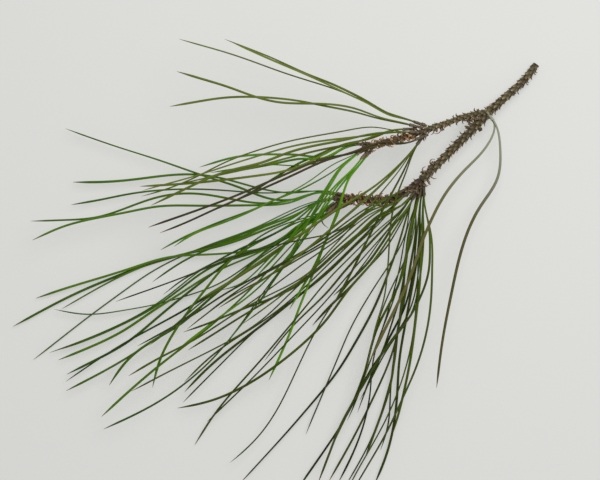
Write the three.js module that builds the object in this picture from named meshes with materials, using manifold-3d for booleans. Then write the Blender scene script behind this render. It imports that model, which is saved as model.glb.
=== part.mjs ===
// A cut pine branch lying on a table: one stem that forks into two twigs, four tufts of long needles on
// them, and one loose bundle of needles caught by the fork.
// Millimetres, +Z up, the table is z = 0. X and Y below are read from the fork; the whole branch is moved
// at the end so that the middle of its footprint is the origin.
//
// Every bundle of needles (a fascicle: a papery sheath with two or three needles growing out of it) is one
// solid. The plan routes of the needles are chosen by hand. Their heights are worked out: the bundles are
// laid down one after the other, each on the ones that are already there, so no two solids touch.
import * as THREE from "three";
import Module from "manifold-3d";

const wasm = await Module();
wasm.setup();
const { Manifold, Mesh } = wasm;

// ---------- wood ----------
const TWIG_SIDES = 7;
const KNOB_SIDES = 6;
const RING_STEP = 3.4; // spacing of the raised scale bases along the bark
const RING_RAISE = 0.35; // how far they stand out
const JOINT_GAP = 0.3; // air left between two solids that meet
const KNOB_TAPER = 0.8; // its head over its foot

// Axis points are [x, y, z]; the radius runs evenly from the first to the second value.
const WOOD = {
  main_stem: {
    axis: [[27.3, 27, 2.7], [21, 18.5, 4], [14, 12, 5.8], [6, 5, 7.8], [0.9, 0.5, 8.8]],
    radius: [2.0, 2.2],
  },
  upper_twig: {
    axis: [[-0.4, 0.2, 9.2], [-8, -1, 12], [-16, -3.5, 15.2], [-25, -6.5, 18.2], [-33, -9.5, 20.5]],
    radius: [1.7, 1.4],
  },
  upper_shoot: {
    axis: [[-33.6, -9.7, 20.7], [-42, -12.5, 22], [-55, -16, 23], [-66, -19, 23], [-69, -20, 22.8]],
    radius: [1.6, 1.1],
  },
  lower_twig: {
    axis: [[0.5, 0.1, 8.8], [-7, -8, 9], [-13, -14, 9.8], [-23, -24, 11.5], [-36, -37, 13.5]],
    radius: [2.1, 1.9],
  },
  lower_shoot: {
    axis: [[-36.5, -37.5, 13.6], [-40, -40, 13.8], [-47, -45, 14], [-58, -48, 13.6], [-72, -47.2, 12.6],
      [-84, -47.3, 11.4]],
    radius: [1.9, 1.2],
  },
};

// The stub of a shed shoot on the lower twig.
const KNOB = { from: [-5.8, -7.3, 9.1], to: [-3, -9.3, 9.4], radius: 1.1 };

// ---------- sheaths ----------
const SHEATH_LENGTH = 10;
const SHEATH_SIDES = 5;
const SHEATH_LEAN = 42; // degrees between the shoot and a sheath that nothing turns
const NEEDLES_LEAD = 1.8; // how much a sheath turns from there towards its needles
const SHEATH_FOOT = 0.72; // radius at the foot
const SHEATH_MOUTH = 0.95; // radius at the mouth

// ---------- needles ----------
const NEEDLE_RADIUS = 0.55; // of the circle round the three-sided section, at its widest
const NEEDLE_SHAPE = [0.42, 0.5, 0.55, 0.55, 0.55, 0.53, 0.5, 0.46, 0.38]; // that radius along the needle
const NEEDLE_SIDES = 3;
const NEEDLE_ROOT = 1.6; // length of a needle that is hidden in its sheath
const NEEDLE_STRAIGHT = 4; // it keeps the sheath's direction for this long
const SPREAD_START = 0.35; // the needles' distance from the middle of the sheath at its mouth
const FIRST_TURN = 0.35; // radians: where the first needle stands in the sheath
const SLIVER = 0.004; // joining a needle to its sheath leaves no edge shorter than this

// ---------- how the needles lie ----------
const NEEDLE_GAP = 0.25; // air between needles of different bundles
const TWIN_GAP = 0.1; // the same between needles of one bundle
const TABLE_CLEARANCE = 0.1;
const PASS_UNDER = 9; // a needle this much lower than another one goes under it instead of over it
const SLIP_UNDER = 1; // the same for wood and sheaths
const HELD_SHARE = 0.3; // this share of a needle's first piece is held by the sheath
const FIRST_LIFT = 0.85; // tip height of a bundle's first needle over its lift
const LIFT_STEP = 0.15; // what each further needle adds
const RISE_SHARE = 0.5; // how long a needle keeps climbing in the sheath's direction
const LATE_DROP = 0.6; // share of the change in height that follows an S curve; the rest is even
const SETTLE_PASSES = 400;
const STRAIGHTEN = 0.5; // how far one pass takes a needle to its natural bend,
const RETURN = 0.04; // and to its natural height
const SAMPLES = [0, 0.2, 0.4, 0.6, 0.8, 1]; // where a piece of needle is tested against an obstacle

// A tuft grows from one place of a shoot. Of each bundle: `along` is the distance from that place along the
// shoot, `roll` the side it grows from (degrees: 0 the +Y side, 90 the top, 180 the -Y side, 270 the
// underside), `lift` the height its needle tips would reach over an empty table, and `needles` their plan
// routes, tip last. Bundles are laid down in the order of the list.
const TUFTS = [
  {
    name: "lower_end",
    wood: "lower_shoot",
    from: 44,
    bundles: [
      { along: 2, roll: 325, lift: 6, needles: [
        [[-112, -44], [-135, -43.4], [-160, -41.9], [-190, -43.5], [-210, -47.3], [-229, -50.5]],
        [[-110, -44], [-127, -40.8], [-145, -36], [-160, -33.7], [-180, -34.7], [-205, -37.6], [-228, -38]],
        [[-112, -49], [-127, -44], [-145, -38], [-160, -33], [-180, -26], [-205, -18], [-232, -8.5]],
      ] },
      { along: 4, roll: 20, lift: 16, needles: [
        [[-110, -48.5], [-125, -49.6], [-142, -47], [-160, -44.3], [-180, -46], [-196, -51.3],
          [-215, -57.3], [-251, -59.5]],
        [[-110, -49.8], [-130, -50.8], [-155, -51], [-180, -51.3], [-205, -56], [-229, -61], [-250, -70]],
      ] },
      { along: 5, roll: 285, lift: 3, needles: [
        [[-110, -54.5], [-130, -64], [-157, -74], [-180, -84.5], [-200, -97.8], [-220, -112.5],
          [-250, -136]],
        [[-108, -55.5], [-130, -64.8], [-157, -75], [-180, -81.3], [-200, -88.3], [-230, -101],
          [-261, -117.5]],
        [[-104, -56], [-125, -65.3], [-140, -71], [-157, -75.6], [-180, -81], [-205, -91.4],
          [-234.5, -108]],
      ] },
      { along: 2, roll: 257, lift: 4, needles: [
        [[-105, -66], [-120, -73.5], [-135, -76.5], [-155, -78], [-180, -80.3], [-200, -87],
          [-225, -94.3], [-248.5, -102]],
        [[-112, -70], [-125, -78], [-140, -90], [-160, -98.8], [-180, -104.8], [-200, -108.7],
          [-222, -110.8], [-238.5, -108]],
      ] },
      { along: -3.5, roll: 228, lift: 5, needles: [
        [[-104, -62], [-118, -71.5], [-140, -79], [-155, -84.8], [-170, -96], [-190, -110],
          [-215, -122], [-241, -132]],
        [[-104, -63], [-120, -74], [-140, -80.2], [-155, -86.5], [-175, -101.5], [-190, -110.8],
          [-212, -121.5], [-234, -130]],
        [[-104, -64.5], [-125, -77], [-145, -85], [-160, -94], [-180, -106.5], [-205, -122.6],
          [-236, -136]],
      ] },
      { along: 4.5, roll: 205, lift: 6, needles: [
        [[-100, -57], [-118, -64.5], [-130, -71], [-145, -84], [-160, -95], [-180, -111.5],
          [-200, -127.5], [-231.5, -144]],
        [[-99, -60], [-115, -70], [-130, -84], [-145, -95], [-160, -104.8], [-180, -116],
          [-205, -130], [-232, -148]],
        [[-98, -62], [-115, -73], [-133, -86.5], [-150, -100.5], [-165, -112.5], [-185, -126.3],
          [-205, -139], [-231.7, -153]],
      ] },
      { along: 1, roll: 172, lift: 12, needles: [
        [[-97, -60], [-113, -74], [-130, -86], [-148, -98], [-165, -113.5], [-190, -129.5],
          [-203, -141.5], [-208, -150]],
        [[-98, -58], [-120, -68], [-140, -80], [-155, -97], [-167, -113], [-178, -131], [-184, -151]],
        [[-96, -62], [-112, -78], [-130, -97], [-150, -115.5], [-170, -131], [-190, -147], [-212, -167]],
      ] },
      { along: 4, roll: 138, lift: 14, needles: [
        [[-97, -65], [-108, -79], [-119, -93], [-133, -113], [-147, -131], [-165, -148],
          [-185, -161.5], [-211, -174]],
        [[-99, -59], [-113, -69], [-126, -80], [-140, -92.5], [-157, -104], [-172, -117], [-186, -128]],
      ] },
      { along: 5.5, roll: 75, lift: 26, needles: [
        [[-103, -55], [-120, -61.5], [-135, -68], [-150, -73.5], [-168, -82], [-184, -93]],
        [[-102, -57], [-116, -66], [-127, -71], [-140, -77], [-152, -83.5], [-166, -91], [-178, -100]],
      ] },
    ],
  },
  {
    name: "upper_end",
    wood: "upper_shoot",
    from: 32,
    bundles: [
      { along: 3, roll: 5, lift: 30, needles: [
        [[-90, -23.6], [-105, -23.3], [-120, -23], [-138, -24.5], [-158, -30]],
        [[-91, -22.3], [-104, -28], [-118, -36.5], [-132, -45], [-147, -52], [-155, -55.5]],
      ] },
      { along: 1, roll: 320, lift: 22, needles: [
        [[-88, -24.5], [-104, -25.5], [-122, -29], [-140, -32.5], [-158, -36.5]],
        [[-88, -26], [-104, -29], [-120, -28.6], [-135, -30.5], [-152, -33]],
      ] },
      { along: 2, roll: 255, lift: 20, needles: [
        [[-84, -28], [-100, -39], [-115, -47], [-130, -53.5], [-150, -61], [-168, -69], [-179.6, -75.4]],
        [[-83, -31], [-100, -41], [-118, -48.5], [-135, -56.5], [-152, -63], [-166, -69], [-172, -73.5]],
      ] },
      { along: 0, roll: 220, lift: 16, needles: [
        [[-77, -38], [-80, -50], [-86, -64], [-93, -82], [-102, -104], [-110, -125], [-120, -147]],
        [[-76, -36], [-81.5, -52], [-87, -66], [-95, -84], [-108.7, -108]],
        [[-78, -37], [-88, -50], [-98, -64], [-110, -81], [-120, -96], [-126, -106]],
      ] },
      { along: 3, roll: 175, lift: 18, needles: [
        [[-84, -42], [-93, -56], [-101, -70], [-110, -82], [-120, -96], [-131, -111], [-148, -132]],
        [[-82, -42], [-92, -57], [-102, -70], [-114, -84], [-127, -97.5], [-147, -112.5], [-170, -130]],
        [[-84, -40], [-94, -54], [-105, -66], [-118, -78], [-127, -87], [-136, -94], [-147, -97.5]],
      ] },
      { along: 4, roll: 95, lift: 34, needles: [
        [[-81, -32], [-87.5, -42], [-94.3, -53], [-100, -63], [-107, -76], [-116, -91]],
        [[-82, -31.5], [-89, -42], [-96, -52.5], [-104, -63], [-114, -76], [-127, -90]],
      ] },
    ],
  },
  {
    name: "lower_whorl",
    wood: "lower_shoot",
    from: 2,
    bundles: [
      { along: 2, roll: 238, lift: 3, needles: [
        [[-44, -58], [-48, -70], [-53, -84], [-57, -97], [-65, -112.5], [-80, -139], [-106, -171],
          [-136, -204]],
        [[-43, -58], [-45, -67], [-49, -76], [-56, -87], [-65, -101], [-75, -119], [-84, -140],
          [-99.6, -177]],
        [[-46, -58], [-51, -67], [-57, -76], [-66, -85.5], [-75, -95.5], [-86, -106], [-96, -117]],
      ] },
      { along: -3.5, roll: 255, lift: 3, needles: [
        [[-40, -60], [-43.5, -75], [-45, -88], [-48, -112], [-50.5, -137], [-57, -162],
          [-64, -181], [-78, -206]],
        [[-41, -60], [-44.5, -80], [-46, -98], [-49, -120], [-52.5, -145], [-54.5, -172], [-58.6, -186]],
        [[-39, -60], [-41, -78], [-43.5, -92], [-45.5, -105], [-49.5, -119], [-50.6, -135],
          [-54.5, -155], [-67, -190]],
      ] },
      { along: -2, roll: 220, lift: 4, needles: [
        [[-37, -60], [-38.5, -80], [-41, -95], [-44.5, -114], [-48, -135], [-49.3, -154],
          [-53, -181], [-62, -205]],
        [[-36, -58], [-37, -75], [-38.5, -95], [-43, -110], [-50, -122], [-63, -140], [-79, -170],
          [-104, -207]],
        [[-38, -60], [-40, -80], [-41.5, -92], [-44, -103], [-48, -113], [-54, -124], [-60, -137],
          [-67, -152]],
      ] },
      { along: 4, roll: 215, lift: 4, needles: [
        [[-51, -56], [-59, -63.5], [-69.5, -73.5], [-86, -90], [-104, -111.5], [-125, -136.5],
          [-148, -163], [-161, -183]],
        [[-48, -57], [-56.5, -66.5], [-66, -77.5], [-76, -89], [-88.5, -103.5], [-105, -121],
          [-129, -146], [-154, -170]],
        [[-50, -57], [-62, -69], [-72, -80], [-80, -89], [-87.5, -98], [-97.5, -108],
          [-109, -119.5], [-122.5, -136.5]],
      ] },
      { along: 0, roll: 200, lift: 5, needles: [
        [[-42, -57], [-44, -75], [-46, -95], [-48.5, -118], [-53, -135], [-63, -158], [-74, -180],
          [-87, -203]],
        [[-42, -56], [-45, -68], [-48, -84], [-52, -100], [-58, -120], [-63.5, -140], [-65, -160],
          [-72, -183], [-82, -204]],
        [[-41, -56], [-44, -78], [-47, -98], [-52, -115], [-57, -130], [-64, -146], [-71.2, -165]],
      ] },
      { along: 4.5, roll: 260, lift: 6, needles: [
        [[-58, -56], [-70, -67], [-82, -78], [-92, -88], [-112, -106], [-130, -119],
          [-148, -130.5], [-166.5, -148]],
        [[-57, -57], [-69, -69], [-80, -80], [-92, -91], [-112, -107.5], [-130, -121.5],
          [-150, -137], [-166.5, -153.6]],
        [[-57, -58.5], [-72, -73], [-84, -85], [-103, -100.8], [-128, -120.5], [-147, -139],
          [-167.4, -159.5]],
      ] },
      { along: 2.5, roll: 180, lift: 8, needles: [
        [[-50, -58], [-57, -68], [-65, -79], [-75, -92], [-85, -105], [-95, -121], [-107, -146],
          [-115.5, -163], [-126, -178], [-141.5, -192.6]],
        [[-49, -59], [-54, -70], [-62, -81], [-73, -93], [-86, -111], [-103, -128.5],
          [-128, -147], [-148, -157], [-170.4, -162.5]],
        [[-50, -60], [-58, -72], [-66, -83], [-75, -92], [-84.5, -100.5]],
      ] },
      { along: -0.5, roll: 165, lift: 9, needles: [
        [[-40, -56], [-43, -68], [-45.5, -84], [-50, -98], [-57, -110], [-63, -126], [-69, -149],
          [-80, -171], [-93, -204]],
        [[-39, -58], [-43, -76], [-49, -89], [-55, -102], [-60, -116], [-66, -138], [-74, -160],
          [-85, -183], [-92, -202]],
        [[-41, -57], [-45, -78], [-50, -98], [-57, -117], [-65, -138], [-71, -155], [-77, -169.5]],
      ] },
      { along: -3, roll: 190, lift: 6, needles: [
        [[-34, -58], [-35.5, -72], [-36.5, -90], [-39, -108], [-41, -125], [-46, -145],
          [-55, -168], [-66, -188], [-77, -208]],
        [[-35, -56], [-36, -74], [-37, -95], [-39, -112], [-41.5, -132], [-46, -155], [-51.5, -176]],
        [[-36, -60], [-38, -80], [-38.5, -98], [-41, -109], [-46, -117], [-55, -130], [-62, -143],
          [-70, -158]],
      ] },
      { along: -3.6, roll: 150, lift: 12, needles: [
        [[-32, -58], [-30.8, -76], [-30.3, -92], [-32.5, -115], [-37, -134], [-44, -151],
          [-55, -175], [-74, -208]],
        [[-33, -56], [-31.6, -72], [-31.6, -84], [-36, -99.5], [-43.5, -113.5], [-54, -127],
          [-63, -141], [-73, -158]],
      ] },
      { along: 3, roll: 150, lift: 16, needles: [
        [[-54, -54], [-66, -63], [-78, -72], [-92, -85], [-105, -94], [-120, -103], [-135, -112],
          [-150, -121.5], [-164.5, -130.5]],
        [[-54, -53], [-68, -64], [-85, -79], [-100, -92], [-115, -100.7], [-130, -106],
          [-150, -114.5], [-167, -120.5]],
        [[-54, -55], [-68, -66], [-85, -78.5], [-105, -96], [-125, -114.5], [-145, -127],
          [-170, -139.5], [-195.6, -153]],
      ] },
      { along: 5, roll: 115, lift: 22, needles: [
        [[-62, -53], [-75, -62], [-90, -73], [-105, -81], [-120, -90], [-135, -97.5],
          [-150, -107.5], [-165, -119]],
        [[-62, -54], [-75, -64], [-90, -75], [-103, -84], [-120, -97], [-140, -111], [-160, -124],
          [-180, -134.5], [-197, -144.5]],
        [[-61, -55], [-74, -66], [-86, -77], [-98, -88], [-112, -96.5], [-125, -102.7],
          [-140, -111.5], [-158, -123]],
      ] },
      { along: 6, roll: 70, lift: 28, needles: [
        [[-65, -51.5], [-80, -62], [-97, -73.5], [-112, -82], [-128, -90.5], [-145, -100],
          [-165, -113], [-192, -128]],
        [[-62, -51], [-75, -60], [-88, -67.8], [-105, -70], [-120, -74], [-140, -79.5],
          [-158, -87], [-180, -95.3], [-204, -103.7]],
        [[-62, -51.5], [-74, -60], [-90, -71], [-105, -79.5], [-120, -87], [-135, -96], [-153, -109]],
      ] },
    ],
  },
  {
    name: "upper_whorl",
    wood: "upper_shoot",
    from: 1,
    bundles: [
      { along: 1, roll: 235, lift: 22, needles: [
        [[-45, -30], [-52, -43], [-60, -58], [-68, -74], [-76, -90], [-84, -104]],
        [[-44, -31], [-48, -41], [-51.5, -52], [-53.5, -66], [-54.3, -82], [-57, -103],
          [-62, -120], [-67, -145]],
      ] },
      { along: 5, roll: 5, lift: 36, needles: [
        [[-60, -13], [-80, -18], [-104, -30], [-125, -34.5], [-145, -37], [-165, -39], [-190.6, -40.5]],
        [[-60, -12], [-75, -17], [-92, -20.5], [-112, -25.5], [-128, -30], [-150, -35], [-172, -40]],
      ] },
      { along: 2, roll: 195, lift: 29, needles: [
        [[-50, -30], [-63, -41], [-80, -51.5], [-103, -67], [-120, -78.5], [-140, -92], [-159, -103]],
        [[-50, -31], [-63, -44], [-72, -52], [-86, -64], [-103, -78], [-122, -91], [-148, -107.5]],
        [[-50, -34], [-60, -46], [-72, -60], [-85, -74], [-98, -88], [-115, -102], [-134.5, -116]],
      ] },
      { along: 0, roll: 150, lift: 38, needles: [
        [[-55, -17.3], [-72, -21.8], [-88, -25], [-104, -31], [-120, -38], [-140, -46.5],
          [-160, -54], [-186, -63]],
        [[-55, -16], [-72, -21], [-88, -26], [-104, -33], [-125, -42.5], [-145, -51], [-167, -61],
          [-179.5, -66]],
      ] },
      { along: 3, roll: 85, lift: 44, needles: [
        [[-56, -8], [-75, -9.5], [-90, -12], [-110, -16], [-130, -22], [-150, -30], [-165, -38],
          [-189.6, -46]],
        [[-60, -12], [-80, -14.5], [-104, -18], [-132, -26], [-160, -35], [-189, -43]],
        [[-60, -11.3], [-80, -15.5], [-104, -20.5], [-128, -29], [-145, -33], [-160, -39.5], [-184, -51]],
      ] },
      { along: 1.5, roll: 30, lift: 48, needles: [
        [[-55, -4.5], [-70, -0.5], [-90, 3.5], [-110, 7], [-140, 8.1], [-174, 3]],
        [[-55, -4], [-68, 0.8], [-81, 4], [-100, 4.8], [-120, 6.3], [-140, 13], [-170, 22]],
      ] },
      { along: -1, roll: 350, lift: 42, needles: [
        [[-50, -2], [-65, 5], [-81, 12], [-110, 21.3], [-140, 31.8], [-169, 40]],
        [[-50, -2.4], [-65, 5.5], [-81, 13.8], [-100, 21.5], [-120, 30.5], [-144, 39.8]],
        [[-50, -3], [-65, 4.4], [-81, 12], [-100, 20.6], [-120, 29], [-141, 38.4]],
      ] },
    ],
  },
];

// The bundle that has been shed and lies across the fork.
const LOOSE = {
  foot: [0.6, -0.4, 12.6],
  mouth: [4.2, -4.6, 11.4],
  lift: 24,
  needles: [
    [[2.8, -12], [-2, -21], [-11, -30], [-20, -40], [-30, -57], [-37, -74], [-44, -94],
      [-54, -114], [-64.5, -136]],
    [[6.3, -12], [7.8, -26], [5, -38], [-4, -52], [-11, -66], [-16.5, -84], [-20, -100],
      [-25, -126], [-28, -151]],
  ],
};

const UP = new THREE.Vector3(0, 0, 1);
const BARK = new THREE.MeshStandardMaterial({ color: 0x4a3f36, roughness: 0.9 });
const GREENS = {
  lower_end: 0x3f7d1c,
  upper_end: 0x4f9a1e,
  lower_whorl: 0x3c5220,
  upper_whorl: 0x46501f,
  loose: 0x4e5026,
};

// A closed tube through the rings (lists of points, all of one length), with flat ends or a point at the
// far end.
function tube(rings, tip) {
  const sides = rings[0].length;
  const points = rings.flat();
  const faces = [];
  for (let i = 0; i + 1 < rings.length; i++)
    for (let k = 0; k < sides; k++) {
      const a = i * sides + k;
      const b = i * sides + ((k + 1) % sides);
      faces.push(a, b, b + sides, a, b + sides, a + sides);
    }
  for (let k = 1; k + 1 < sides; k++) faces.push(0, k + 1, k);
  const last = (rings.length - 1) * sides;
  if (tip) {
    points.push(tip);
    for (let k = 0; k < sides; k++) faces.push(last + k, last + ((k + 1) % sides), points.length - 1);
  } else for (let k = 1; k + 1 < sides; k++) faces.push(last, last + k, last + k + 1);
  const coordinates = new Float32Array(points.flatMap((p) => [p.x, p.y, p.z]));
  const mesh = new Mesh({ numProp: 3, vertProperties: coordinates, triVerts: new Uint32Array(faces) });
  return new Manifold(mesh);
}

// Points of one ring around `at`, square to `along`, the first one as near the top as it can be.
function ring(at, along, radius, sides) {
  const side = new THREE.Vector3().crossVectors(along, UP).normalize();
  const top = new THREE.Vector3().crossVectors(side, along).normalize();
  return Array.from({ length: sides }, (_, k) => {
    const angle = (2 * Math.PI * k) / sides;
    return at
      .clone()
      .addScaledVector(top, radius * Math.cos(angle))
      .addScaledVector(side, radius * Math.sin(angle));
  });
}

const vector = (p) => new THREE.Vector3(p[0], p[1], p[2] ?? 0);
const curveThrough = (points) => new THREE.CatmullRomCurve3(points, false, "centripetal");

// ---------- the wood ----------
const shoots = {};
const solids = [];
const obstacles = []; // straight pieces a needle has to pass over or under: { a, b, radius, owner, needle }

// A length of stem with its raised rings; `grow` makes it that much thicker all round.
function stem({ axis, radius }, grow = 0) {
  const curve = curveThrough(axis.map(vector));
  const length = curve.getLength();
  const count = 2 * Math.max(2, Math.round(length / RING_STEP));
  const spots = curve.getSpacedPoints(count);
  const radiusAt = (t) => radius[0] + (radius[1] - radius[0]) * t;
  const rings = spots.map((spot, i) => {
    const raise = i % 2 ? RING_RAISE : 0;
    return ring(spot, curve.getTangentAt(i / count), radiusAt(i / count) + raise + grow, TWIG_SIDES);
  });
  return { curve, length, spots, radiusAt, solid: tube(rings) };
}

for (const [name, piece] of Object.entries(WOOD)) {
  const { solid, spots, ...shoot } = stem(piece);
  shoots[name] = shoot;
  for (let i = 0; i + 1 < spots.length; i++)
    obstacles.push({ a: spots[i], b: spots[i + 1], radius: shoot.radiusAt(0) + RING_RAISE });
  solids.push({ name, solid, material: BARK });
}
const woodOf = (name) => solids.find((entry) => entry.name === name);

// At the fork the upper twig is scooped out to sit on the thicker stem, with air between them.
for (const name of ["main_stem", "lower_twig"])
  woodOf("upper_twig").solid = woodOf("upper_twig").solid.subtract(stem(WOOD[name], JOINT_GAP).solid);

const knobFoot = vector(KNOB.from);
const knobHead = vector(KNOB.to);
const knobWay = knobHead.clone().sub(knobFoot).normalize();
woodOf("lower_twig").solid = woodOf("lower_twig").solid.add(
  tube([
    ring(knobFoot, knobWay, KNOB.radius, KNOB_SIDES),
    ring(knobHead, knobWay, KNOB.radius * KNOB_TAPER, KNOB_SIDES),
  ]),
);

// ---------- the sheaths ----------
const lean = THREE.MathUtils.degToRad(SHEATH_LEAN);

// Foot and mouth of a bundle's sheath: the foot touches the bark, the mouth leans towards the needles' way.
function sheathOf(tuft, bundle) {
  const shoot = shoots[tuft.wood];
  const t = THREE.MathUtils.clamp((tuft.from + bundle.along) / shoot.length, 0, 1);
  const centre = shoot.curve.getPointAt(t);
  const along = shoot.curve.getTangentAt(t);
  const side = new THREE.Vector3(along.y, -along.x, 0).normalize();
  const roll = THREE.MathUtils.degToRad(bundle.roll);
  const radial = side.multiplyScalar(Math.cos(roll)).addScaledVector(UP, Math.sin(roll));
  const reach = shoot.radiusAt(t) + RING_RAISE + JOINT_GAP + SHEATH_FOOT;
  const foot = centre.clone().addScaledVector(radial, reach);
  const way = vector(bundle.needles[0][0]).sub(foot).setZ(0).normalize();
  const natural = along.clone().multiplyScalar(Math.cos(lean)).addScaledVector(radial, Math.sin(lean));
  const direction = natural.addScaledVector(way, NEEDLES_LEAD).normalize();
  return { foot, mouth: foot.clone().addScaledVector(direction, SHEATH_LENGTH), direction };
}

function laySheath({ foot, mouth, direction }, owner) {
  obstacles.push({ a: foot, b: mouth, radius: SHEATH_MOUTH, owner });
  return tube([
    ring(foot, direction, SHEATH_FOOT, SHEATH_SIDES),
    ring(mouth, direction, SHEATH_MOUTH, SHEATH_SIDES),
  ]);
}

const bundles = [];
for (const tuft of TUFTS)
  tuft.bundles.forEach((bundle, i) => {
    const name = `${tuft.name}_fascicle_${i + 1}`;
    bundles.push({ name, tuft: tuft.name, ...bundle, sheath: sheathOf(tuft, bundle) });
  });
const looseFoot = vector(LOOSE.foot);
const looseMouth = vector(LOOSE.mouth);
const looseDirection = looseMouth.clone().sub(looseFoot).normalize();
bundles.push({
  name: "loose_fascicle",
  tuft: "loose",
  ...LOOSE,
  sheath: { foot: looseFoot, mouth: looseMouth, direction: looseDirection },
});
for (const bundle of bundles) bundle.solid = laySheath(bundle.sheath, bundle.name);

// ---------- laying the needles ----------
// Where along the plan piece p-q the point s lies nearest, from 0 to 1.
function nearestOn(s, p, q) {
  const dx = q.x - p.x;
  const dy = q.y - p.y;
  const t = ((s.x - p.x) * dx + (s.y - p.y) * dy) / (dx * dx + dy * dy || 1);
  return Math.min(1, Math.max(0, t));
}

// Where the plan pieces a-b and p-q cross, as a share of a-b, or null.
function crossing(a, b, p, q) {
  const d = (b.x - a.x) * (q.y - p.y) - (b.y - a.y) * (q.x - p.x);
  if (Math.abs(d) < 1e-9) return null;
  const t = ((p.x - a.x) * (q.y - p.y) - (p.y - a.y) * (q.x - p.x)) / d;
  const u = ((p.x - a.x) * (b.y - a.y) - (p.y - a.y) * (b.x - a.x)) / d;
  return t >= 0 && t <= 1 && u >= 0 && u <= 1 ? t : null;
}

// The height limits the obstacles set along a route: { k, u, z, over } = at the share u of piece k.
function limitsFor(route, owner) {
  const limits = [];
  for (let k = 0; k + 1 < route.length; k++) {
    const a = route[k];
    const b = route[k + 1];
    for (const o of obstacles) {
      const own = o.owner === owner;
      if (own && k === 0) continue;
      const apart = NEEDLE_RADIUS + o.radius + (own ? TWIN_GAP : NEEDLE_GAP);
      if (Math.min(o.a.x, o.b.x) - apart > Math.max(a.x, b.x)) continue;
      if (Math.max(o.a.x, o.b.x) + apart < Math.min(a.x, b.x)) continue;
      if (Math.min(o.a.y, o.b.y) - apart > Math.max(a.y, b.y)) continue;
      if (Math.max(o.a.y, o.b.y) + apart < Math.min(a.y, b.y)) continue;
      const cross = crossing(a, b, o.a, o.b);
      for (const u of cross === null ? SAMPLES : [...SAMPLES, cross]) {
        if (k === 0 && u < HELD_SHARE) continue;
        const s = { x: a.x + (b.x - a.x) * u, y: a.y + (b.y - a.y) * u, z: a.z + (b.z - a.z) * u };
        const v = nearestOn(s, o.a, o.b);
        const gap = Math.hypot(s.x - o.a.x - (o.b.x - o.a.x) * v, s.y - o.a.y - (o.b.y - o.a.y) * v);
        if (gap >= apart) continue;
        const height = o.a.z + (o.b.z - o.a.z) * v;
        const rise = Math.sqrt(apart * apart - gap * gap);
        const under = s.z < height - (o.needle ? PASS_UNDER : SLIP_UNDER);
        limits.push({ k, u, z: under ? height - rise : height + rise, over: !under });
      }
    }
  }
  return limits;
}

// Heights of the route's stations: a springy curve of the natural shape that keeps every limit and the
// table.
function settle(route, limits) {
  const natural = route.map((p) => p.z);
  const z = [...natural];
  const last = z.length - 1;
  const floor = NEEDLE_RADIUS + TABLE_CLEARANCE;
  for (let pass = 0; pass < SETTLE_PASSES; pass++) {
    for (let k = 1; k <= last; k++) {
      const bend = (line) => (k < last ? (line[k - 1] + line[k + 1]) / 2 : 2 * line[k - 1] - line[k - 2]);
      const rest = natural[k] - bend(natural);
      z[k] += STRAIGHTEN * (bend(z) + rest - z[k]) + RETURN * (natural[k] - z[k]);
      z[k] = Math.max(z[k], floor);
    }
    for (const { k, u, z: bound, over } of limits) {
      const now = z[k] * (1 - u) + z[k + 1] * u;
      const short = over ? bound - now : now - bound;
      if (short <= 0) continue;
      const free = k === 0 ? 0 : 1 - u; // the first station stays in the sheath
      const scale = (over ? short : -short) / (free * free + u * u || 1);
      z[k] += scale * free;
      z[k + 1] += scale * u;
    }
  }
  route.forEach((p, k) => (p.z = k ? Math.max(z[k], floor) : z[k]));
}

// One needle of a bundle: its plan route is given, its height follows from the lift and from what lies
// below.
function layNeedle(bundle, index) {
  const { mouth, direction } = bundle.sheath;
  const count = bundle.needles.length;
  const pieces = NEEDLE_SHAPE.length;
  const start = mouth.clone().addScaledVector(direction, -NEEDLE_ROOT);
  const turn = (2 * Math.PI * index) / count + FIRST_TURN;
  const side = new THREE.Vector3().crossVectors(direction, UP).normalize();
  const top = new THREE.Vector3().crossVectors(side, direction).normalize();
  start.addScaledVector(side, SPREAD_START * Math.cos(turn));
  start.addScaledVector(top, SPREAD_START * Math.sin(turn));
  const leave = start.clone().addScaledVector(direction, NEEDLE_STRAIGHT);
  const far = bundle.needles[index].map(vector);
  const plan = curveThrough([start.clone().setZ(0), leave.clone().setZ(0), ...far]);
  const route = plan.getSpacedPoints(pieces);
  const length = plan.getLength();
  const rise = direction.z * length * RISE_SHARE;
  const lift = bundle.lift * (FIRST_LIFT + LIFT_STEP * index);
  const drop = Math.max(lift, NEEDLE_RADIUS + TABLE_CLEARANCE) - start.z;
  route.forEach((p, k) => {
    const t = k / pieces;
    const late = 3 * t * t - 2 * t * t * t;
    p.z = start.z + rise * t * (1 - t) * (1 - t) + drop * (LATE_DROP * late + (1 - LATE_DROP) * t);
  });
  settle(route, limitsFor(route, bundle.name));
  for (let k = 0; k < pieces; k++) {
    const straight = { a: route[k], b: route[k + 1], radius: NEEDLE_RADIUS };
    obstacles.push({ ...straight, owner: bundle.name, needle: true });
  }
  const rings = [];
  for (let k = 0; k < pieces; k++) {
    const before = route[Math.max(0, k - 1)];
    const along = k ? route[k + 1].clone().sub(before).normalize() : direction;
    rings.push(ring(route[k], along, NEEDLE_SHAPE[k], NEEDLE_SIDES));
  }
  return tube(rings, route[pieces]);
}

for (const bundle of bundles) {
  bundle.needles.forEach((_, i) => (bundle.solid = bundle.solid.add(layNeedle(bundle, i))));
  const material = new THREE.MeshStandardMaterial({ color: GREENS[bundle.tuft], roughness: 0.5 });
  solids.push({ name: bundle.name, solid: bundle.solid.simplify(SLIVER), material });
}

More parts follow.
